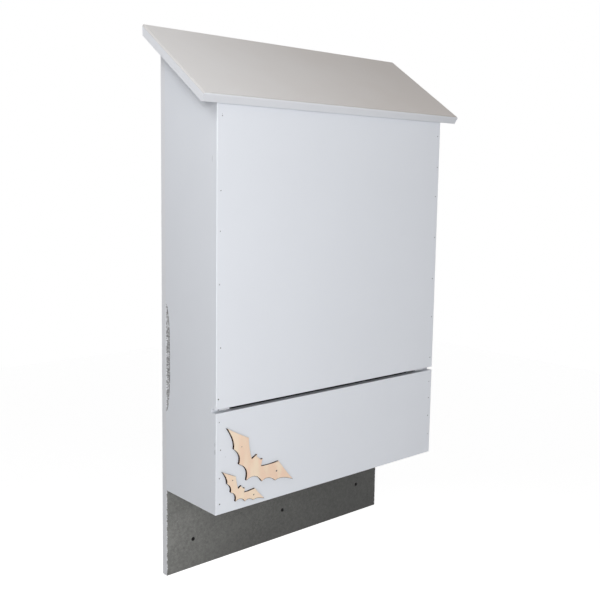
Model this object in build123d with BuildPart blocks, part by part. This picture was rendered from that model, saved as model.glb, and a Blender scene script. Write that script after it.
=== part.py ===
from build123d import *
import math
import os

# Bat box: a tall flat nursery box that hangs on a wall, open at the bottom.
# Frame: X to the right seen from the front, Y back to the wall, Z up.
# The origin is at the middle of the back panel's lower edge, on the face against the wall.

# Boards
board = 12.0
roof_board = 14.0
partition_board = 12.0
bat_ply = 3.6

# Box
inner_width = 480.0
overall_height = 900.0
landing_height = 150.0
lower_front_height = 161.0
front_vent_gap = 6.0
edge_round = 1.0

# Roof
roof_slope = 34.5
roof_side_overhang = 32.5
roof_front_overhang = 14.5
roof_edge_round = 3.0

# Roosting chambers
chambers = 4
chamber_gap = 23.0
strip_width = 22.0
partition_lift = 12.0
partition_top_gap = 25.0
strip_top_gap = 1.0

# Side vents, long hollows in the rear edges of the side panels, straight in the middle and rounded at their ends.
# The rise is from the box's lower edge to the vent's middle.
side_vent_rise = 225.0
side_vent_half_length = 90.0
side_vent_end_length = 68.0
side_vent_depth = 12.0
strip_vent_clearance = 8.0

# Screw holes in the landing, drilled by hand: each one's place across and up
screw_hole_radius = 3.0
screw_places = ((-199.0, 50.5), (1.5, 51.5), (196.0, 56.5))

# Bats: the neck's place right of and above the lower front panel's left corner, lean to the right,
# size against the large one
large_bat_place = (76.0, 69.5)
large_bat_lean = 39.3
small_bat_place = (46.1, 30.6)
small_bat_lean = 36.3
small_bat_size = 0.59

# Large bat's outline, half of it, across and up from the middle of the neck
bat_tail = (0.0, -31.8)
bat_inner_point = (29.7, -18.5)
bat_outer_point = (54.1, -4.5)
bat_wing_tip = (87.0, 14.7)
bat_wrist = (39.9, 23.9)
bat_neck = (12.2, 0.0)
bat_ear = (7.2, 11.3)
bat_brow = (5.6, 8.4)
bat_inner_scallop = 7.6
bat_middle_scallop = 5.3
bat_outer_scallop = 3.7
bat_wing_hollow = 0.5
bat_arm_hollow = 1.1

# Worked out from the sizes above
outer_width = inner_width + 2 * board
inner_depth = chambers * chamber_gap + (chambers - 1) * partition_board
outer_depth = inner_depth + 2 * board
slope_rise = math.tan(math.radians(roof_slope))
roof_plumb = roof_board / math.cos(math.radians(roof_slope))
box_back = -board
box_front = -outer_depth
front_back_face = box_front + board
lower_front_top = landing_height + lower_front_height
side_vent_height = landing_height + side_vent_rise
side_vent_straight = side_vent_half_length - side_vent_end_length
upper_front_bottom = lower_front_top + front_vent_gap


def under_roof(y):
    """Height of the roof's underside at a place y."""
    return overall_height - roof_plumb + y * slope_rise


def chamber_back(number):
    """Place of the rear face of a chamber, counted from the wall."""
    return box_back - number * (chamber_gap + partition_board)


def keep(piece, name):
    """Name a finished piece and write it."""
    piece.part.label = name
    export_step(piece.part, f"parts/{name}.step")


def slanted_board(front, back, low, drop=0.0):
    """Outline of an upright board, seen from the side, cut to the roof's slope at the top."""
    Polyline(
        (front, low),
        (back, low),
        (back, under_roof(back) - drop),
        (front, under_roof(front) - drop),
        close=True,
    )


os.makedirs("parts", exist_ok=True)

# Back panel, with the landing below the box
with BuildPart() as back_panel:
    with BuildSketch(Plane.YZ):
        with BuildLine():
            slanted_board(-board, 0, 0)
        make_face()
    extrude(amount=outer_width / 2, both=True)
    with BuildSketch(Plane.XZ):
        with Locations(*screw_places):
            Circle(screw_hole_radius)
    extrude(amount=board, mode=Mode.SUBTRACT)
keep(back_panel, "back_panel")

# Side panels, seated on the back panel's front face
for side, outer_face in (("left", -outer_width / 2), ("right", outer_width / 2)):
    into_box = board if outer_face < 0 else -board
    with BuildPart() as side_panel:
        with BuildSketch(Plane.YZ.offset(outer_face)):
            with BuildLine():
                slanted_board(front_back_face, box_back, landing_height)
            make_face()
            with Locations((box_back, side_vent_height)):
                Rectangle(2 * side_vent_depth, 2 * side_vent_straight, mode=Mode.SUBTRACT)
            with Locations(
                (box_back, side_vent_height - side_vent_straight),
                (box_back, side_vent_height + side_vent_straight),
            ):
                Ellipse(side_vent_depth, side_vent_end_length, mode=Mode.SUBTRACT)
        extrude(amount=into_box)
    keep(side_panel, f"{side}_side")

# Upper front panel, from the vent gap up to the roof
with BuildPart() as upper_front_panel:
    with BuildSketch(Plane.YZ):
        with BuildLine():
            slanted_board(box_front, front_back_face, upper_front_bottom)
        make_face()
    extrude(amount=outer_width / 2, both=True)
    upright = upper_front_panel.edges().filter_by(Axis.Z).group_by(Axis.Y)[0]
    across = upper_front_panel.edges().filter_by(Axis.X).group_by(Axis.Z)[0].sort_by(Axis.Y)[0]
    fillet([*upright, across], edge_round)
keep(upper_front_panel, "upper_front_panel")

# Lower front panel
with BuildPart() as lower_front_panel:
    with BuildSketch(Plane.XZ.offset(-front_back_face)):
        with Locations((0, landing_height + lower_front_height / 2)):
            Rectangle(outer_width, lower_front_height)
    extrude(amount=board)
    fillet(lower_front_panel.faces().sort_by(Axis.Y)[0].edges(), edge_round)
keep(lower_front_panel, "lower_front_panel")

# Roof: plumb against the wall, square to the slope in front
roof_front = box_front - roof_front_overhang
square_back = roof_board * math.sin(math.radians(roof_slope))
square_down = roof_board * math.cos(math.radians(roof_slope))
roof_front_top = overall_height + roof_front * slope_rise
with BuildPart() as roof:
    with BuildSketch(Plane.YZ):
        with BuildLine():
            Polyline(
                (0, overall_height),
                (roof_front, roof_front_top),
                (roof_front + square_back, roof_front_top - square_down),
                (0, under_roof(0)),
                close=True,
            )
        make_face()
    extrude(amount=outer_width / 2 + roof_side_overhang, both=True)
    roof_top = roof.faces().sort_by(SortBy.AREA)[-2:].sort_by(Axis.Z)[-1]
    fillet(roof_top.edges().sort_by(Axis.Y)[:-1], roof_edge_round)
keep(roof, "roof")

# Partitions between the chambers, numbered from the wall
for number in range(1, chambers):
    partition_back = chamber_back(number) + partition_board
    partition_front = partition_back - partition_board
    partition_bottom = landing_height + partition_lift
    partition_top = under_roof(partition_front) - partition_top_gap
    with BuildPart() as partition:
        with BuildSketch(Plane.XZ.offset(-partition_back)):
            with Locations((0, (partition_bottom + partition_top) / 2)):
                Rectangle(inner_width, partition_top - partition_bottom)
        extrude(amount=partition_board)
    keep(partition, f"partition_{number}")

# Strips that hold the partitions apart, at both sides of every chamber
vent_low = side_vent_height - side_vent_half_length - strip_vent_clearance
vent_high = side_vent_height + side_vent_half_length + strip_vent_clearance
for side, wall in (("left", -inner_width / 2), ("right", inner_width / 2)):
    into_box = strip_width if wall < 0 else -strip_width
    for number in range(chambers):
        strip_back = chamber_back(number)
        strip_front = strip_back - chamber_gap
        with BuildPart() as strip:
            with BuildSketch(Plane.YZ.offset(wall)):
                with BuildLine():
                    slanted_board(strip_front, strip_back, landing_height, strip_top_gap)
                make_face()
                if number == 0:
                    with Locations(((strip_front + strip_back) / 2, side_vent_height)):
                        Rectangle(chamber_gap, vent_high - vent_low, mode=Mode.SUBTRACT)
            extrude(amount=into_box)
        if number == 0:
            for end, solid in zip(("lower", "upper"), strip.solids().sort_by(Axis.Z)):
                with BuildPart() as rear_strip:
                    add(solid)
                keep(rear_strip, f"{side}_rear_strip_{end}")
        else:
            keep(strip, f"{side}_strip_{number + 1}")


def hollow(start, end, depth, share=0.5):
    """A curve from start to end, hollowed to the left by a depth, deepest near a share of the way."""
    start, end = Vector(start), Vector(end)
    across = (end - start).normalized().rotate(Axis.Z, 90)
    Bezier(start, start + share * (end - start) + 2 * depth * across, end)


def bat(place, lean, size):
    """A cut-out bat on the lower front panel: three scallops a wing, a point for the tail and two ears."""
    lean = math.radians(lean)
    face = Plane(
        origin=(place[0] - outer_width / 2, box_front, place[1] + landing_height),
        x_dir=(math.cos(lean), 0, -math.sin(lean)),
        z_dir=(0, -1, 0),
    )
    with BuildPart() as figure:
        with BuildSketch(face):
            with BuildLine():
                hollow(bat_tail, bat_inner_point, bat_inner_scallop)
                hollow(bat_inner_point, bat_outer_point, bat_middle_scallop, 0.42)
                hollow(bat_outer_point, bat_wing_tip, bat_outer_scallop, 0.32)
                hollow(bat_wing_tip, bat_wrist, bat_wing_hollow)
                hollow(bat_wrist, bat_neck, bat_arm_hollow)
                Polyline(bat_neck, bat_ear, bat_brow, (0, bat_brow[1]))
                mirror(about=Plane.YZ)
            make_face()
            scale(by=size)
        extrude(amount=bat_ply)
    return figure


keep(bat(large_bat_place, large_bat_lean, 1.0), "large_bat")
keep(bat(small_bat_place, small_bat_lean, small_bat_size), "small_bat")
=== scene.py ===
import math

import bmesh
import bpy
import numpy as np
from mathutils import Matrix, Vector


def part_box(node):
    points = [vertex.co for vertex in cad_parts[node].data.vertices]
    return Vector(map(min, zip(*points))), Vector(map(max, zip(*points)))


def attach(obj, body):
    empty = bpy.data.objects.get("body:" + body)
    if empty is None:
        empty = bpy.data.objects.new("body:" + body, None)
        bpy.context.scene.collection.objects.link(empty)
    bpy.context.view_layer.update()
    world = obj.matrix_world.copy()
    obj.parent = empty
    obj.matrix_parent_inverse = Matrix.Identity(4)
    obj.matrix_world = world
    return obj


# Bat box: a tall flat nursery box of painted boards, with a dark landing at the foot of its back panel,
# two cut-out birch bats and brads on its front, wire gauze in its side vents, and nibs and scuffs in its
# paint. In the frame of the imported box: X to the right, Y back to the wall, Z up. In metres, but where a
# comment says millimetres.

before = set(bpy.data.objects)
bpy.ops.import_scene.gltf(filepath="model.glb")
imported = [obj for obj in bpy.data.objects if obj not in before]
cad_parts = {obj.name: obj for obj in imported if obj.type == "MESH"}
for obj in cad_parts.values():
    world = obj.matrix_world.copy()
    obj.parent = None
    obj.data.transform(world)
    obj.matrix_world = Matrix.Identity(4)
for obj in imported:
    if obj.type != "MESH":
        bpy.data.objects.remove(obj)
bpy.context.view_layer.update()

MM = 0.001

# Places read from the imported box
back_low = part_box("back_panel")[0]
side_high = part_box("left_side")[1]
upper_low, upper_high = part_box("upper_front_panel")
lower_low, lower_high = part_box("lower_front_panel")
roof_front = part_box("roof")[0].y
bat_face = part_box("large_bat")[0].y

left_face = lower_low.x
right_face = lower_high.x
front_face = lower_low.y
landing_face = back_low.y
landing_top = lower_low.z


# Surfaces

# An upright face to put things on: which way is across it, up it and out of it
FRONT = np.array([(1.0, 0, 0), (0, 0, 1.0), (0, -1.0, 0)])
LEFT_SIDE = np.array([(0, -1.0, 0), (0, 0, 1.0), (-1.0, 0, 0)])
RIGHT_SIDE = np.array([(0, 1.0, 0), (0, 0, 1.0), (1.0, 0, 0)])

# How deep a lump's foot is sunk in its face
LUMP_FOOT = 0.2 * MM


def put(name, points, faces, finish, slot, smooth=True):
    """A mesh piece from arrays of points and faces, with its doubles merged and its faces turned outwards.
    With a slot it belongs to the box and rides on its body."""
    mesh = bpy.data.meshes.new(name)
    mesh.from_pydata(points.reshape(-1, 3).tolist(), [], faces.tolist())
    form = bmesh.new()
    form.from_mesh(mesh)
    bmesh.ops.remove_doubles(form, verts=form.verts, dist=1e-7)
    bmesh.ops.recalc_face_normals(form, faces=form.faces)
    form.to_mesh(mesh)
    form.free()
    mesh.polygons.foreach_set("use_smooth", [smooth] * len(mesh.polygons))
    mesh.materials.append(finish)
    piece = bpy.data.objects.new(name, mesh)
    bpy.context.scene.collection.objects.link(piece)
    if slot:
        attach(piece, "root")
    return piece


def grid_faces(rows, columns, round_columns=False):
    """Four-cornered faces over a grid of points, numbered row by row. With round columns, the last column
    joins the first."""
    across = columns if round_columns else columns - 1
    numbers = np.meshgrid(np.arange(rows - 1), np.arange(across), indexing="ij")
    row, column = (number.ravel() for number in numbers)
    beside = (column + 1) % columns
    here, below = row * columns, (row + 1) * columns
    return np.stack([here + column, here + beside, below + beside, below + column], 1)


def repeated(faces, points, count):
    """The faces of one shape of so many points, numbered again for each of count shapes."""
    step = np.arange(count)[:, None, None] * points
    return (faces[None] + step).reshape(-1, faces.shape[1])


def lumps(name, face, places, across, along, height, finish, slot, turns=14):
    """Low closed lumps on an upright face, each an ellipse. At a share s of the way from its middle to its
    rim a lump stands out by its height times the square root of one minus s squared, and its flat foot is
    sunk in the face. Places are points of the face; the other sizes are one for all or one for each."""
    sizes = (across, along, height)
    across, along, height = (np.broadcast_to(size, len(places))[:, None, None] for size in sizes)
    share = np.array([0.0, 0.35, 0.65, 0.88, 1.0, 1.0, 0.0])
    out = np.sqrt(1 - share**2)
    out[-2:] = 0
    sunk = np.array([0, 0, 0, 0, 0, LUMP_FOOT, LUMP_FOOT])
    turn = np.linspace(0, 2 * math.pi, turns, endpoint=False)
    wide = across * share[:, None] * np.cos(turn)
    tall = along * share[:, None] * np.sin(turn)
    local = np.stack([wide, tall, np.broadcast_to(height * out[:, None] - sunk[:, None], wide.shape)], -1)
    points = places[:, None, None] + local @ face
    faces = repeated(grid_faces(len(share), turns, round_columns=True), len(share) * turns, len(places))
    return put(name, points, faces, finish, slot)


def tubes(name, lines, radius, finish, slot, sides=5, out=(1.0, 0, 0)):
    """Wires along lines, an array of lines of points: round each point, a ring of sides at a radius, square
    to the way that the line runs there, from its neighbours' difference. A first and a last ring of no size
    close the ends. The radius is one for all or one for each line, and no line runs along the way out."""
    ways = np.gradient(lines, axis=1)
    ways /= np.linalg.norm(ways, axis=2, keepdims=True)
    level = np.cross(ways, np.array(out))
    level /= np.linalg.norm(level, axis=2, keepdims=True)
    upright = np.cross(ways, level)
    turn = np.linspace(0, 2 * math.pi, sides, endpoint=False)
    ring = level[:, :, None] * np.cos(turn)[:, None] + upright[:, :, None] * np.sin(turn)[:, None]
    rings = lines[:, :, None] + np.broadcast_to(radius, len(lines))[:, None, None, None] * ring
    ends = np.broadcast_to(lines[:, [0, -1], None], (len(lines), 2, sides, 3))
    points = np.concatenate([ends[:, :1], rings, ends[:, 1:]], 1)
    rows = points.shape[1]
    faces = repeated(grid_faces(rows, sides, round_columns=True), rows * sides, len(lines))
    return put(name, points, faces, finish, slot)


# Finishes


class Nodes:
    """A tree of nodes, with short ways to add the ones that it needs."""

    def __init__(self, tree):
        self.tree = tree

    def feed(self, socket, value):
        """Links an input to another node's output, or sets it to a value. A plain colour is made opaque."""
        if isinstance(value, bpy.types.NodeSocket):
            self.tree.links.new(value, socket)
        else:
            socket.default_value = (*value, 1.0) if socket.type == "RGBA" else value

    def add(self, kind, inputs=(), **settings):
        """A node with its settings, and its inputs fed."""
        node = self.tree.nodes.new("ShaderNode" + kind)
        for key, value in settings.items():
            setattr(node, key, value)
        for key, value in dict(inputs).items():
            self.feed(node.inputs[key], value)
        return node

    def maths(self, operation, first, second=0.0):
        """Two numbers put together by an operation."""
        return self.add("Math", {0: first, 1: second}, operation=operation).outputs[0]

    def sum(self, first, second):
        """Two numbers added."""
        return self.maths("ADD", first, second)

    def times(self, first, second):
        """Two numbers multiplied. Of two masks, where both hold."""
        return self.maths("MULTIPLY", first, second)

    def either(self, first, second):
        """The larger of two numbers. Of two masks, where one or both hold."""
        return self.maths("MAXIMUM", first, second)

    def over(self, value, limit):
        """One where a value is over a limit, and nought elsewhere."""
        return self.maths("GREATER_THAN", value, limit)

    def under(self, value, limit):
        """One where a value is under a limit, and nought elsewhere."""
        return self.maths("LESS_THAN", value, limit)

    def ramp(self, value, low, high, to_low=0.0, to_high=1.0, smooth=True):
        """A number's range from low to high, carried over to another range and held at its ends."""
        kind = "SMOOTHSTEP" if smooth else "LINEAR"
        inputs = {"Value": value, "From Min": low, "From Max": high, "To Min": to_low, "To Max": to_high}
        return self.add("MapRange", inputs, interpolation_type=kind).outputs[0]

    def looked_at(self):
        """One for what is seen straight on, in gloss or through glass, and nought for what only lights."""
        seen = self.add("LightPath").outputs
        either = self.either(seen["Is Camera Ray"], seen["Is Glossy Ray"])
        return self.either(either, seen["Is Transmission Ray"])


class Finish(Nodes):
    """A finish being mixed: a material's nodes."""

    def __init__(self, name):
        self.material = bpy.data.materials.new(name)
        self.material.use_nodes = True
        super().__init__(self.material.node_tree)
        self.shader = self.tree.nodes["Principled BSDF"]
        self.place = self.add("TexCoord").outputs["Object"]

    def stretched(self, x, y, z):
        """The place on the object, stretched along each axis."""
        return self.add("Mapping", {"Vector": self.place, "Scale": (x, y, z)}).outputs[0]

    def cloud(self, size, detail=2.0, roughness=0.5, place=None):
        """Noise whose patches are about as wide as size, in metres, around a half."""
        inputs = {
            "Vector": self.place if place is None else place,
            "Scale": 1 / size,
            "Detail": detail,
            "Roughness": roughness,
        }
        return self.add("TexNoise", inputs).outputs["Fac"]

    def blend(self, share, first, second):
        """One colour turning into another as a share goes from nought to one."""
        node = self.add("Mix", {"Factor": share}, data_type="RGBA")
        for key, value in (("A_Color", first), ("B_Color", second)):
            self.feed(next(socket for socket in node.inputs if socket.identifier == key), value)
        return next(socket for socket in node.outputs if socket.identifier == "Result_Color")

    def scaled(self, colour, factor):
        """A colour multiplied by a number."""
        return self.add("VectorMath", {0: colour, 3: factor}, operation="SCALE").outputs[0]

    def facing(self, axis, flat=False):
        """How much the surface faces along an axis, from minus one to one. It turns softly round a rounded
        edge, unless it is taken flat, face by face."""
        normal = self.add("NewGeometry").outputs["True Normal" if flat else "Normal"]
        return self.add("SeparateXYZ", {"Vector": normal}).outputs[axis]

    def along(self, axis):
        """The place along one axis, in metres."""
        return self.add("SeparateXYZ", {"Vector": self.place}).outputs[axis]

    def reach(self):
        """The distance left or right of the box's middle, in metres."""
        return self.maths("ABSOLUTE", self.along("X"))

    def relief(self, height, depth):
        """Bumps as deep as depth, in metres, where a height goes from nought to one."""
        bump = self.add("Bump", {"Height": height, "Distance": depth, "Strength": 1.0})
        self.feed(self.shader.inputs["Normal"], bump.outputs[0])

    def colour(self, value):
        """The base colour."""
        self.feed(self.shader.inputs["Base Color"], value)

    def roughness(self, value):
        """How matt the surface is."""
        self.feed(self.shader.inputs["Roughness"], value)

    def gloss(self, value):
        """How strongly the surface mirrors what is round it: a half is plain paint."""
        self.feed(self.shader.inputs["Specular IOR Level"], value)


# Colours, in linear light
WHITE_PAINT = (0.781, 0.806, 0.856)
ROOF_WHITE = (0.765, 0.780, 0.818)
ROOF_PAINT = (0.79, 0.77, 0.76)
# Painted shade: the roof top's colour towards its right end, darker and warmer
ROOF_TOP_PAINTED_SHADE = (0.713, 0.662, 0.628)
BOARD_WHITE = (0.785, 0.795, 0.828)
LANDING_STAIN = (0.093, 0.0935, 0.0885)
INNER_STAIN = (0.016, 0.0155, 0.015)
# Painted shade on the boards' edges in the front vent gap
GAP_PAINTED_SHADE = (0.56, 0.575, 0.61)
CHAMBER_BACK = (0.05, 0.05, 0.05)
# Painted shade at the front vent gap's left end, lighter than in the rest of the gap
GAP_END_PAINTED_SHADE = (0.63, 0.65, 0.69)
STRIP_PAINT = (0.76, 0.78, 0.81)
BIRCH = (0.91, 0.68, 0.52)
BIRCH_PINK = (0.93, 0.65, 0.515)
BIRCH_PALE = (0.94, 0.77, 0.595)
SCORCH = (0.022, 0.010, 0.007)
SCORCH_RIM = (0.045, 0.022, 0.015)
BRAD = (0.075, 0.075, 0.08)
WIRE = (0.60, 0.60, 0.61)
CLOG = (0.68, 0.69, 0.72)
SMUDGE = (0.24, 0.25, 0.27)

# The screw holes' places across and up, and their radius
SCREW_HOLES = [(-0.199, 0.0505), (0.0015, 0.0515), (0.196, 0.0565)]
SCREW_RADIUS = 3 * MM

# How far the chambers' faces reach to either side and to the front. Then the front vent gap's lower and
# upper edges, and where the lighter painted shade of its left end stops
INNER_HALF = -side_high.x - 0.3 * MM
INNER_FRONT = upper_high.y - 0.3 * MM
GAP_LOW = lower_high.z - 0.4 * MM
GAP_HIGH = upper_low.z + 0.4 * MM
GAP_END = left_face + 13 * MM

# The depth of rolled paint's stipple
PAINT_RELIEF = 0.009 * MM


def shade(colour, factor):
    """A colour made lighter or darker by a factor."""
    return tuple(factor * part for part in colour)


def inside_box(finish):
    """Nought on the outside of the box and one on the faces that bound its chambers."""
    within = finish.under(finish.reach(), INNER_HALF)
    behind = finish.over(finish.along("Y"), INNER_FRONT)
    before = finish.under(finish.along("Y"), landing_face + 0.1 * MM)
    return finish.times(within, finish.times(behind, before))


def in_gap(finish):
    """One on the boards' edges round the front vent gap, behind its rounded lips, and nought elsewhere."""
    up = finish.along("Z")
    level = finish.times(finish.over(up, GAP_LOW), finish.under(up, GAP_HIGH))
    behind = finish.over(finish.along("Y"), front_face + 0.8 * MM)
    within = finish.under(finish.reach(), right_face - 0.3 * MM)
    return finish.times(level, finish.times(behind, within))


def orange_peel(finish):
    """The skin of rolled paint: a fine stipple over slow swells."""
    stipple = finish.sum(finish.cloud(1.6 * MM, 3), finish.times(finish.cloud(9 * MM, 1), 1.5))
    finish.relief(stipple, PAINT_RELIEF)


def upright_grain(finish):
    """Dark stain with an upright grain: its colour and the grain."""
    grain = finish.cloud(6 * MM, 4, 0.6, finish.stretched(1, 1, 0.06))
    return finish.blend(grain, INNER_STAIN, shade(INNER_STAIN, 1.7)), grain


def white_paint():
    """Satin white paint outside, with a tone that drifts a little and painted shade on its edges in the
    front vent gap, lighter at the gap's left end, and dark stain on the faces round the chambers."""
    finish = Finish("white_paint")
    outside = finish.blend(finish.cloud(0.12, 2), WHITE_PAINT, shade(WHITE_PAINT, 0.975))
    # Painted shade on the edges in the front vent gap, lighter at its left end
    gap_shade = finish.blend(finish.over(finish.along("X"), GAP_END), GAP_END_PAINTED_SHADE, GAP_PAINTED_SHADE)
    outside = finish.blend(in_gap(finish), outside, gap_shade)
    stain, _ = upright_grain(finish)
    finish.colour(finish.blend(inside_box(finish), outside, stain))
    finish.roughness(finish.ramp(finish.cloud(0.03, 3), 0.3, 0.7, 0.42, 0.52))
    orange_peel(finish)
    return finish.material


def painted_strip():
    """The foremost strips' paint, duller than the box's."""
    finish = Finish("painted_strip")
    grain = finish.cloud(4 * MM, 3, 0.6, finish.stretched(1, 1, 0.1))
    finish.colour(finish.blend(grain, STRIP_PAINT, shade(STRIP_PAINT, 0.85)))
    finish.roughness(0.6)
    return finish.material


def roof_paint():
    """The roof's paint: white on its ends, front edge and eaves, with painted shade that darkens the white
    to the right and painted shade on its arrises in place of their highlight. On its top a grey, with
    painted shade that makes it darker and warmer to the right and darker to the rear. Within the walls it
    is stained below."""
    finish = Finish("roof_paint")
    up = finish.facing("Z")
    upward = finish.ramp(up, 0.02, 0.35)
    # Painted shade: the top's grey turns darker and warmer towards the right, with a little noise.
    right_shade_share = finish.sum(finish.along("X"), finish.ramp(finish.cloud(0.10, 2), 0.3, 0.7, -0.04, 0.04))
    top = finish.blend(finish.ramp(right_shade_share, -0.25, 0.2, smooth=False), ROOF_PAINT, ROOF_TOP_PAINTED_SHADE)
    # Painted shade: the top darker towards the rear.
    rear_painted_shade = finish.ramp(finish.along("Y"), roof_front, 0.0, 1.0, 0.965, smooth=False)
    top = finish.scaled(top, rear_painted_shade)
    # Painted shade: the white ends and front edge darker towards the right.
    white = finish.blend(finish.ramp(finish.along("X"), 0.0, 0.28), ROOF_WHITE, shade(ROOF_WHITE, 0.93))
    painted = finish.blend(upward, white, top)
    # Painted shade: the arrises darkened by a fifth, against the light that they catch.
    arris = finish.times(finish.ramp(up, 0.03, 0.25), finish.ramp(up, 0.81, 0.74))
    painted = finish.scaled(painted, finish.ramp(arris, 0.0, 1.0, 1.0, 0.80))
    finish.colour(finish.blend(inside_box(finish), painted, finish.blend(upward, INNER_STAIN, top)))
    finish.roughness(0.5)
    orange_peel(finish)
    return finish.material


def back_board():
    """The back panel: speckled dark stain on its front, with painted light that makes it paler to the left,
    painted shade that darkens it to the right, at its foot and just under the box, and painted shade that
    makes it darkest in and round its screw holes. White paint on its edges and back. The paint wraps
    raggedly round onto the landing and has strayed in at the vents. Above the landing the front is the
    chambers' back, evenly stained."""
    finish = Finish("back_board")
    across, up = finish.along("X"), finish.along("Z")

    mottle = finish.cloud(5 * MM, 3, 0.6)
    tone = finish.sum(finish.ramp(finish.cloud(0.05, 2), 0.35, 0.65, -0.06, 0.06), mottle)
    stain = finish.blend(tone, shade(LANDING_STAIN, 0.50), shade(LANDING_STAIN, 1.50))
    grit = finish.ramp(finish.cloud(1.8 * MM, 2, 0.7), 0.56, 0.70, 0.0, 0.55)
    stain = finish.blend(grit, stain, shade(LANDING_STAIN, 0.45))
    dust = finish.ramp(finish.cloud(2.1 * MM, 2, 0.7, finish.stretched(1.1, 1, 0.9)), 0.60, 0.72, 0.0, 0.5)
    stain = finish.blend(dust, stain, shade(LANDING_STAIN, 1.9))

    # Painted light and shade: paler to the left, darker to the right, at the foot and just under the box.
    painted_light_and_shade = finish.ramp(across, -0.25, 0.16, 1.41, 0.61, smooth=False)
    painted_light_and_shade = finish.sum(painted_light_and_shade, finish.ramp(across, -0.25, -0.10, 0.55, 0.0))
    painted_light_and_shade = finish.times(painted_light_and_shade, finish.ramp(up, 0.0, 0.06, 0.86, 1.04))
    painted_light_and_shade = finish.times(painted_light_and_shade, finish.ramp(up, 0.08, 0.125, 1.0, 0.87))
    stain = finish.scaled(stain, painted_light_and_shade)

    flat = finish.stretched(1, 0, 1)
    nearest = 1.0
    for place, height in SCREW_HOLES:
        inputs = {0: flat, 1: (place, 0, height)}
        away = finish.add("VectorMath", inputs, operation="DISTANCE").outputs["Value"]
        nearest = finish.maths("MINIMUM", away, nearest)
    # Painted shade: the stain turns near black in and round the screw holes.
    hole_painted_shade = finish.ramp(nearest, SCREW_RADIUS + 0.1 * MM, SCREW_RADIUS + 1.0 * MM, 1.0, 0.0)
    stain = finish.blend(hole_painted_shade, stain, shade(LANDING_STAIN, 0.06))
    stain = finish.blend(finish.over(up, landing_top + 0.5 * MM), stain, CHAMBER_BACK)

    reach = finish.reach()
    wrap = finish.ramp(finish.cloud(3.5 * MM, 5, 0.85), 0.44, 0.60, 0.1 * MM, 1.5 * MM)
    wrapped = finish.times(finish.over(finish.sum(reach, wrap), right_face), finish.under(up, landing_top))
    stray = finish.ramp(up, landing_top, landing_top + 1 * MM, 0.05 * MM, 0.8 * MM)
    edge = finish.either(wrapped, finish.over(finish.sum(reach, stray), right_face))
    rear = finish.ramp(finish.along("Y"), -0.2 * MM, -0.1 * MM)
    bottom = finish.times(finish.ramp(finish.facing("Z"), -0.5, -0.7), finish.ramp(up, 0.3 * MM, 0.1 * MM))
    painted = finish.either(finish.either(edge, rear), bottom)

    finish.colour(finish.blend(painted, stain, BOARD_WHITE))
    finish.roughness(0.62)
    finish.relief(finish.sum(mottle, finish.cloud(1.5 * MM, 2)), 0.12 * MM)
    return finish.material


def dark_stain():
    """Dark water-based stain on bare plywood inside the box, with an upright grain."""
    finish = Finish("dark_stain")
    stain, grain = upright_grain(finish)
    finish.colour(stain)
    finish.roughness(0.8)
    finish.relief(grain, 0.2 * MM)
    return finish.material


def birch_face(finish, pinkest, least_pale):
    """A birch face: soft bands of paler and pinker wood along an upright grain, with fine pores. Shares say
    how far the wood turns pink at most, and how pale it is at least."""
    bands = finish.cloud(19 * MM, 1, 0.4, finish.stretched(1, 1, 0.25))
    pink = finish.cloud(15 * MM, 1, 0.4, finish.stretched(1, 1, 0.4))
    wood = finish.blend(finish.ramp(bands, 0.38, 0.62, least_pale, 1.0), BIRCH, BIRCH_PALE)
    wood = finish.blend(finish.ramp(pink, 0.52, 0.66, 0.0, pinkest), wood, BIRCH_PINK)
    pores = finish.ramp(finish.cloud(1.0 * MM, 3, 0.7, finish.stretched(1, 1, 0.10)), 0.55, 0.75, 0.0, 0.25)
    return finish.blend(pores, wood, shade(BIRCH, 0.7))


def birch_ply(name, pinkest, least_pale):
    """Laser-cut birch plywood: a pale face, and scorched walls whose three layers still show."""
    finish = Finish(name)
    layers = finish.cloud(0.9 * MM, 1, 0.5, finish.stretched(0.05, 1, 0.05))
    layers = finish.ramp(layers, 0.35, 0.65, 0.7, 1.5)
    streaks = finish.cloud(1.2 * MM, 2, 0.6, finish.stretched(1, 0.15, 1))
    streaks = finish.ramp(streaks, 0.3, 0.7, 0.6, 1.5)
    char = finish.scaled(SCORCH, finish.times(layers, streaks))
    wall = finish.ramp(finish.facing("Y", flat=True), -0.7, -0.5)
    finish.colour(finish.blend(wall, birch_face(finish, pinkest, least_pale), char))
    finish.roughness(0.8)
    finish.gloss(0.04)
    return finish.material


def plain(name, colour, roughness, metallic=0.0, gloss=0.5):
    """A small part's finish, of one colour that varies a little from place to place."""
    finish = Finish(name)
    finish.colour(finish.blend(finish.cloud(3 * MM, 2), shade(colour, 1.15), shade(colour, 0.85)))
    finish.roughness(roughness)
    finish.gloss(gloss)
    finish.feed(finish.shader.inputs["Metallic"], metallic)
    return finish.material


finishes = {
    "white_paint": white_paint(),
    "roof_paint": roof_paint(),
    "back_board": back_board(),
    "dark_stain": dark_stain(),
    "large_bat": birch_ply("birch_ply", pinkest=0.7, least_pale=0.0),
    "small_bat": birch_ply("pale_birch_ply", pinkest=0.2, least_pale=0.5),
    "painted_strip": painted_strip(),
    "scorch": plain("scorch", SCORCH_RIM, 0.8, gloss=0.05),
    "brad": plain("brad", BRAD, 0.6, metallic=0.3),
    "wire": plain("wire", WIRE, 0.6, metallic=0.2),
    "smudge": plain("smudge", SMUDGE, 0.7),
    "clog": plain("clog", CLOG, 0.6),
}

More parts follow.
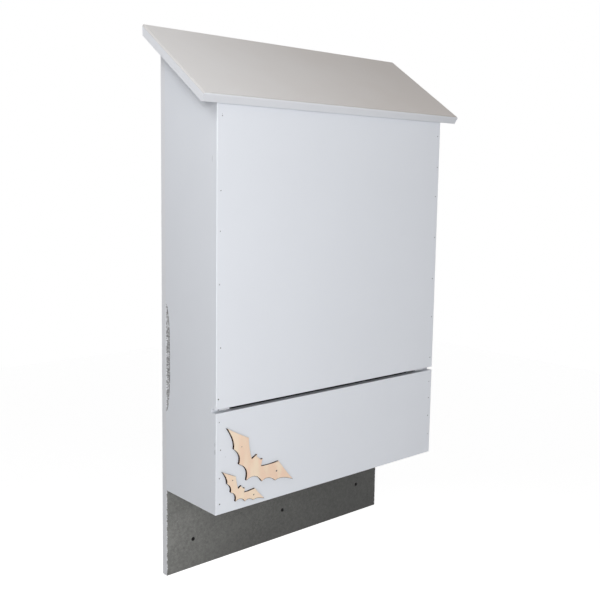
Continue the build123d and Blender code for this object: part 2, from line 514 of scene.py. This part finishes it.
for node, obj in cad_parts.items():
    if node == "roof":
        finish = finishes["roof_paint"]
    elif node == "back_panel":
        finish = finishes["back_board"]
    elif node.endswith("_bat"):
        finish = finishes[node]
    elif node.endswith("_strip_4"):
        finish = finishes["painted_strip"]
    elif "partition" in node or "strip" in node:
        finish = finishes["dark_stain"]
    else:
        finish = finishes["white_paint"]
    obj.data.materials.clear()
    obj.data.materials.append(finish)


# Brads: their places across and up and their heads' radius, in millimetres
BRADS_LEFT = [
    (-242.3, 756.8, 0.8),
    (-244.5, 648.0, 0.8),
    (-245.4, 588.0, 0.75),
    (-246.5, 508.3, 0.85),
    (-244.1, 412.0, 1.0),
    (-247.6, 333.0, 1.15),
    (-245.9, 296.8, 0.8),
    (-243.5, 252.7, 1.05),
    (-245.3, 207.9, 0.95),
    (-244.8, 166.6, 1.15),
]
BRADS_RIGHT = [
    (245.1, 749.4, 0.9),
    (247.2, 693.1, 0.8),
    (244.6, 639.4, 0.85),
    (246.4, 563.5, 0.9),
    (244.1, 486.4, 1.05),
    (245.6, 413.8, 0.95),
    (245.1, 335.8, 0.95),
    (244.6, 289.0, 0.8),
    (244.6, 257.5, 0.95),
    (244.5, 222.8, 0.95),
    (245.8, 186.4, 0.7),
]
BRADS_BATS = [(-205.2, 251.3, 0.8), (-134.1, 197.0, 1.5), (-222.7, 201.0, 1.0), (-180.8, 168.1, 1.15)]
BRAD_STRIP = [(-239.2, 312.7, 1.0)]
BRAD_HEIGHT = 0.2 * MM

# Nibs: the large ones' heights on the landing, how many small ones there are and between which heights,
# and how far left of the middle they all lie. Then half a large one's width and height and how far it
# stands out, all in millimetres, and a small one's size as a share of a large one's.
NIB_HEIGHTS = [132.7, 118.8, 108.4, 103.1, 68.2, 28.6]
SMALL_NIBS = 9
SMALL_NIB_HEIGHTS = (6, 145)
NIB_EDGE = (250.4, 251.4)
NIB_SIZE = (0.7, 0.9, 0.3)
SMALL_NIB = 0.6

# Scuffs: their places across and up, or on the side along Y and up, and half their widths and half their
# heights, in millimetres
FRONT_SCUFFS = [(85, 326), (-242.3, 759.5), (-234, 240)]
FRONT_SCUFF_SIZES = [(0.2, 0.2, 0.35), (1.5, 0.9, 0.5)]
SIDE_SCUFFS = [(-140.5, 694.6), (-149.2, 262), (-149.2, 250.5)]
SIDE_SCUFF_SIZES = [(0.2, 0.35, 0.5), (5.1, 3.5, 4.5)]
SCUFF_HEIGHT = 0.04 * MM


def on_face(places, depth):
    """Places across and up, in millimetres, as points of an upright face at a depth."""
    across, up = np.array(places, float).T * MM
    return np.stack([across, np.full(len(across), depth), up], 1)


def on_side(places, outer_face):
    """Places along Y and up, in millimetres, as points of a side panel's outer face."""
    along, up = np.array(places, float).T * MM
    return np.stack([np.full(len(along), outer_face), along, up], 1)


def drive(name, brads, depth):
    """Brads with low heads that stand a little out of a face."""
    brads = np.array(brads)
    radius = brads[:, 2] * MM
    lumps(name, FRONT, on_face(brads[:, :2], depth), radius, radius, BRAD_HEIGHT, finishes["brad"], "steel")


def raise_nibs():
    """Nibs of paint along the landing's left edge: large ones at given heights, and small ones anywhere."""
    chance = np.random.default_rng(5)
    heights = np.concatenate([NIB_HEIGHTS, chance.uniform(*SMALL_NIB_HEIGHTS, SMALL_NIBS)])
    across = -chance.uniform(*NIB_EDGE, len(heights))
    nibs = on_face(np.stack([across, heights], 1), landing_face)
    share = np.where(np.arange(len(heights)) < len(NIB_HEIGHTS), 1.0, SMALL_NIB)
    wide, tall, high = (size * MM * share for size in NIB_SIZE)
    lumps("landing_nibs", FRONT, nibs, wide, tall, high, finishes["white_paint"], "white_paint")


def scuff(name, face, places, sizes):
    """Thin grey scuffs on a painted face."""
    wide, tall = np.array(sizes) * MM
    lumps(name, face, places, wide, tall, SCUFF_HEIGHT, finishes["smudge"], "white_paint")


# A bat's char: the way that its most charred walls face, how little char leaves no bead, and a bead's
# radius with no char and what full char adds to it, in millimetres
CHARRED_WAY = (-0.8, 0, -0.6)
LEAST_CHAR = 0.1
BEAD_RADIUS = 0.12
CHAR_RADIUS = 0.18


def values(elements, key, width, kind=float):
    """One property of all a mesh's points, edges, faces or corners: an array with a row for each."""
    flat = np.empty(len(elements) * width, kind)
    elements.foreach_get(key, flat)
    return flat.reshape(-1, width)


def scorch_rim(node):
    """Charred arrises of a bat: a thin bead along the edges that its walls share with its front plane,
    where the walls face down or to the left. A wall's char is the cosine of the angle between the way that
    it faces and the most charred way, and its bead's radius grows in line with its char."""
    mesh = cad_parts[node].data
    corners = values(mesh.polygons, "loop_total", 1, int)[:, 0]
    out = np.repeat(values(mesh.polygons, "normal", 3), corners, 0)
    edges = values(mesh.vertices, "co", 3)[values(mesh.edges, "vertices", 2, int)]
    lines = edges[values(mesh.loops, "edge_index", 1, int)[:, 0]]
    rim = (np.abs(out[:, 1]) < 0.5) & (np.abs(lines[:, :, 1] - bat_face) < 0.01 * MM).all(1)
    char = out @ np.array(CHARRED_WAY)
    rim &= char > LEAST_CHAR
    radius = (BEAD_RADIUS + CHAR_RADIUS * char[rim]) * MM
    tubes(node + "_rim", lines[rim], radius, finishes["scorch"], "birch_ply", out=(0, 1.0, 0))


# Side vents: their middle's height, half their straight part, and their ends' length and depth
VENT_MIDDLE = 375 * MM
VENT_STRAIGHT = 22 * MM
VENT_END = 68 * MM
VENT_DEPTH = 12 * MM

# Their wire gauze: its wires' pitch, radius and wave, how far inside the outer face it lies, and how far
# its first upright wire is from the rear edge. Then how far uprights and the ends of level wires stray, how
# long an upright's sway is, and how many points an upright and a level wire have.
WIRE_PITCH = 1.7 * MM
WIRE_RADIUS = 0.17 * MM
WIRE_WAVE = 0.2 * MM
GAUZE_INSET = 1.2 * MM
FIRST_WIRE = 0.6 * MM
UPRIGHT_STRAY = 0.12 * MM
LEVEL_STRAY = 0.15 * MM
SWAY_LENGTH = 11 * MM
UPRIGHT_POINTS = 191
LEVEL_POINTS = 15

# How many level wires there are above the middle one
ROWS = int((VENT_STRAIGHT + VENT_END) / WIRE_PITCH)

# Paint in the gauze: the share of its cells that is closed at depths from the rear edge to the front, and
# how much the closed ones keep to every other pair. Then the first cell's depth, how near a lump's middle
# comes to the vent's front and to its rear, and how far a lump stands out. Last, between which sizes half
# its width and half its height lie, in millimetres.
CLOSED_DEPTHS = [0, 2 * MM, 6 * MM, 8.5 * MM, VENT_DEPTH]
CLOSED_SHARES = [0.50, 0.40, 0.40, 0.15, 0.05]
EVENNESS = 0.15
FIRST_CELL = -0.35 * MM
FRONT_MARGIN = 0.4 * MM
REAR_MARGIN = 0.3 * MM
CLOG_HEIGHT = 0.4 * MM
CLOG_SIZES = (0.65, 1.0)


def vent_reach(rise):
    """How deep a vent is at a rise above its middle: all its depth along its straight part, and past that
    its depth times the square root of one minus the square of the way past over the end's length."""
    past = np.clip(np.abs(rise) - VENT_STRAIGHT, 0, None)
    return VENT_DEPTH * np.sqrt(1 - (past / VENT_END) ** 2)


def weave(name, outer_face, seed):
    """Gauze that fills a vent, a little inside the side panel's outer face. An upright wire at a depth d
    from the panel's rear edge is as long as the vent is there: its straight part, and twice the end's
    length times the square root of one minus the square of d over the vent's depth. A level wire is as long
    as the vent is deep at its height. Each wire goes over and under the others as a cosine of the way along
    it. An upright sways as a sine of that way, and a level wire's ends lie a little high or low."""
    chance = np.random.default_rng(seed)
    middle = outer_face - np.sign(outer_face) * GAUZE_INSET

    depths = np.arange(FIRST_WIRE, VENT_DEPTH, WIRE_PITCH)
    half = VENT_STRAIGHT + VENT_END * np.sqrt(1 - (depths / VENT_DEPTH) ** 2)
    along = half[:, None] * np.linspace(-1, 1, UPRIGHT_POINTS)
    over = WIRE_WAVE * np.cos(math.pi * (along / WIRE_PITCH + np.arange(len(depths))[:, None]))
    stray = chance.normal(0, UPRIGHT_STRAY, (len(depths), 1))
    sway = stray * np.sin(along / SWAY_LENGTH + chance.uniform(0, 6, (len(depths), 1)))
    upright = np.stack([middle + over, side_high.y - depths[:, None] + sway, VENT_MIDDLE + along], -1)

    rise = np.arange(-ROWS, ROWS + 1) * WIRE_PITCH
    share = np.linspace(0, 1, LEVEL_POINTS)
    depth = vent_reach(rise)[:, None] * share
    row = np.arange(len(rise))[:, None]
    over = -WIRE_WAVE * np.cos(math.pi * ((depth - FIRST_WIRE) / WIRE_PITCH + row))
    rear_end = chance.normal(0, LEVEL_STRAY, (len(rise), 1))
    front_end = chance.normal(0, LEVEL_STRAY, (len(rise), 1))
    high = rear_end * (1 - share) + front_end * share
    level = np.stack([middle + over, side_high.y - depth, VENT_MIDDLE + rise[:, None] + high], -1)

    tubes(name + "_uprights", upright, WIRE_RADIUS, finishes["wire"], "steel")
    tubes(name + "_levels", level, WIRE_RADIUS, finishes["wire"], "steel")


def clog(name, face, outer_face, seed):
    """Cells of a vent's gauze that paint has closed, two level neighbours at a time, each by a lump. A pair
    is closed where its draw, mixed with nought and one by turns, is under the share for its depth."""
    chance = np.random.default_rng(seed)
    rises = (np.arange(-ROWS, ROWS) + 0.5) * WIRE_PITCH
    rise, depth = np.meshgrid(rises, np.arange(FIRST_CELL, VENT_DEPTH, WIRE_PITCH))
    pairs = chance.random(((len(rise) + 1) // 2, rise.shape[1]))
    pairs = (1 - EVENNESS) * pairs + EVENNESS * (np.indices(pairs.shape).sum(0) % 2)
    drawn = np.repeat(pairs, 2, 0)[: len(rise)]
    closed = drawn < np.interp(depth, CLOSED_DEPTHS, CLOSED_SHARES)
    closed &= depth < vent_reach(rise) - FRONT_MARGIN
    rise, depth = rise[closed], np.clip(depth[closed], REAR_MARGIN, None)
    gauze = outer_face - np.sign(outer_face) * (GAUZE_INSET - 0.1 * MM)
    stray = chance.normal(0, LEVEL_STRAY, (2, len(rise)))
    places = [np.full(len(rise), gauze), side_high.y - depth + stray[0], VENT_MIDDLE + rise + stray[1]]
    wide, tall = chance.uniform(*CLOG_SIZES, (2, len(rise))) * MM
    paint = finishes["clog"]
    lumps(name, face, np.stack(places, 1), wide, tall, CLOG_HEIGHT, paint, "white_paint", turns=9)


drive("left_brads", BRADS_LEFT, front_face)
drive("right_brads", BRADS_RIGHT, front_face)
drive("bat_brads", BRADS_BATS, bat_face)
drive("strip_brad", BRAD_STRIP, upper_high.y)
raise_nibs()
scuff("front_scuffs", FRONT, on_face(FRONT_SCUFFS, front_face), FRONT_SCUFF_SIZES)
scuff("side_scuffs", LEFT_SIDE, on_side(SIDE_SCUFFS, left_face), SIDE_SCUFF_SIZES)
scorch_rim("large_bat")
scorch_rim("small_bat")
weave("left_gauze", left_face, 3)
weave("right_gauze", right_face, 4)
clog("left_gauze_paint", LEFT_SIDE, left_face, 7)
clog("right_gauze_paint", RIGHT_SIDE, right_face, 8)


# Camera: where the photograph was taken from
CAMERA_PLACE = Vector((-0.98153, -1.16812, 0.66208))
CAMERA_YAW = math.radians(41.33)
CAMERA_DOWN = math.radians(7.07)
CAMERA_ROLL = math.radians(-0.89)
SENSOR_WIDTH = 36.0
FOCAL_LENGTH = 50.58
SHIFT_RIGHT = 0.00113
SHIFT_UP = -0.02215


def stand_camera():
    """A camera at its place, turned right of the wall's normal, tipped down and rolled."""
    camera = bpy.data.objects.new("camera", bpy.data.cameras.new("camera"))
    bpy.context.scene.collection.objects.link(camera)
    level = math.cos(CAMERA_DOWN)
    ahead = Vector((math.sin(CAMERA_YAW) * level, math.cos(CAMERA_YAW) * level, -math.sin(CAMERA_DOWN)))
    right = Vector((math.cos(CAMERA_YAW), -math.sin(CAMERA_YAW), 0))
    down = ahead.cross(right)
    rolled_right = right * math.cos(CAMERA_ROLL) + down * math.sin(CAMERA_ROLL)
    rolled_down = down * math.cos(CAMERA_ROLL) - right * math.sin(CAMERA_ROLL)
    turn = Matrix((rolled_right, -rolled_down, -ahead)).transposed()
    camera.matrix_world = Matrix.Translation(CAMERA_PLACE) @ turn.to_4x4()
    camera.data.sensor_width = SENSOR_WIDTH
    camera.data.lens = FOCAL_LENGTH
    camera.data.shift_x = SHIFT_RIGHT
    camera.data.shift_y = SHIFT_UP
    camera.data.clip_start = 0.01
    bpy.context.scene.camera = camera


# Studio: soft boxes round a hanging box, a pale floor below it and a white room
BOX_MIDDLE = (0.0, -0.1, 0.5)

# Each soft box's place and target, its side in metres and its power in watts
SOFT_BOXES = {
    "wide_left": ((-1.5, -2.2, 0.6), BOX_MIDDLE, 1.4, 21.3),
    "key": ((-1.3, -1.5, 0.7), BOX_MIDDLE, 0.8, 11.5),
    "front": ((0.0, -2.5, 0.6), BOX_MIDDLE, 1.6, 9.4),
    "high_left": ((-2.0, -1.0, 1.7), BOX_MIDDLE, 0.9, 8.0),
    "over_roof": ((-0.9, -0.6, 1.7), BOX_MIDDLE, 0.6, 1.5),
    "roof_end": ((-0.9, -0.15, 1.35), (0.0, -0.1, 0.8), 0.35, 1.5),
    "behind": ((0.9, 2.2, 0.8), (0.1, 0.0, 0.5), 1.0, 22.0),
    "right": ((2.2, 0.45, 0.9), (0.25, -0.1, 0.5), 0.8, 22.0),
}

WHITE = (1.0, 1.0, 1.0)
ROOM_LIGHT = 0.1
FLOOR_DROP = 1.0
FLOOR_HALF = 6.0
FLOOR_GREY = (0.40, 0.40, 0.40)
FLOOR_GLOW = 0.9


def hang_lights():
    """Square soft boxes, each at its place and facing its target."""
    for name, (place, target, side, power) in SOFT_BOXES.items():
        lamp = bpy.data.lights.new(name, "AREA")
        lamp.shape = "SQUARE"
        lamp.size = side
        lamp.energy = power
        soft_box = bpy.data.objects.new(name, lamp)
        bpy.context.scene.collection.objects.link(soft_box)
        soft_box.location = place
        soft_box.visible_camera = False
        soft_box.rotation_euler = (Vector(target) - Vector(place)).to_track_quat("-Z", "Y").to_euler()


def light_room():
    """A room that is white to look at and in gloss, and lights the box at a plain level."""
    world = bpy.data.worlds.new("room")
    bpy.context.scene.world = world
    world.use_nodes = True
    room = Nodes(world.node_tree)
    background = room.tree.nodes["Background"].inputs
    room.feed(background["Color"], WHITE)
    room.feed(background["Strength"], room.ramp(room.looked_at(), 0.0, 1.0, ROOM_LIGHT, 1.0, smooth=False))


def lay_floor():
    """A pale floor below the hanging box: a square sheet on a grid of two rows, which glows white to look
    at and in gloss."""
    half, height = FLOOR_HALF, back_low.z - FLOOR_DROP
    corners = np.array([(x, y, height) for y in (-half, half) for x in (-half, half)])
    finish = Finish("floor_paper")
    finish.colour(FLOOR_GREY)
    finish.roughness(0.9)
    strength = finish.times(finish.looked_at(), FLOOR_GLOW)
    glow = finish.add("Emission", {"Color": WHITE, "Strength": strength})
    both = finish.add("AddShader", {0: finish.shader.outputs[0], 1: glow.outputs[0]})
    finish.feed(finish.tree.nodes["Material Output"].inputs["Surface"], both.outputs[0])
    floor = put("floor", corners, grid_faces(2, 2), finish.material, None, smooth=False)


stand_camera()
hang_lights()
light_room()
lay_floor()
bpy.context.scene.view_settings.view_transform = "Standard"
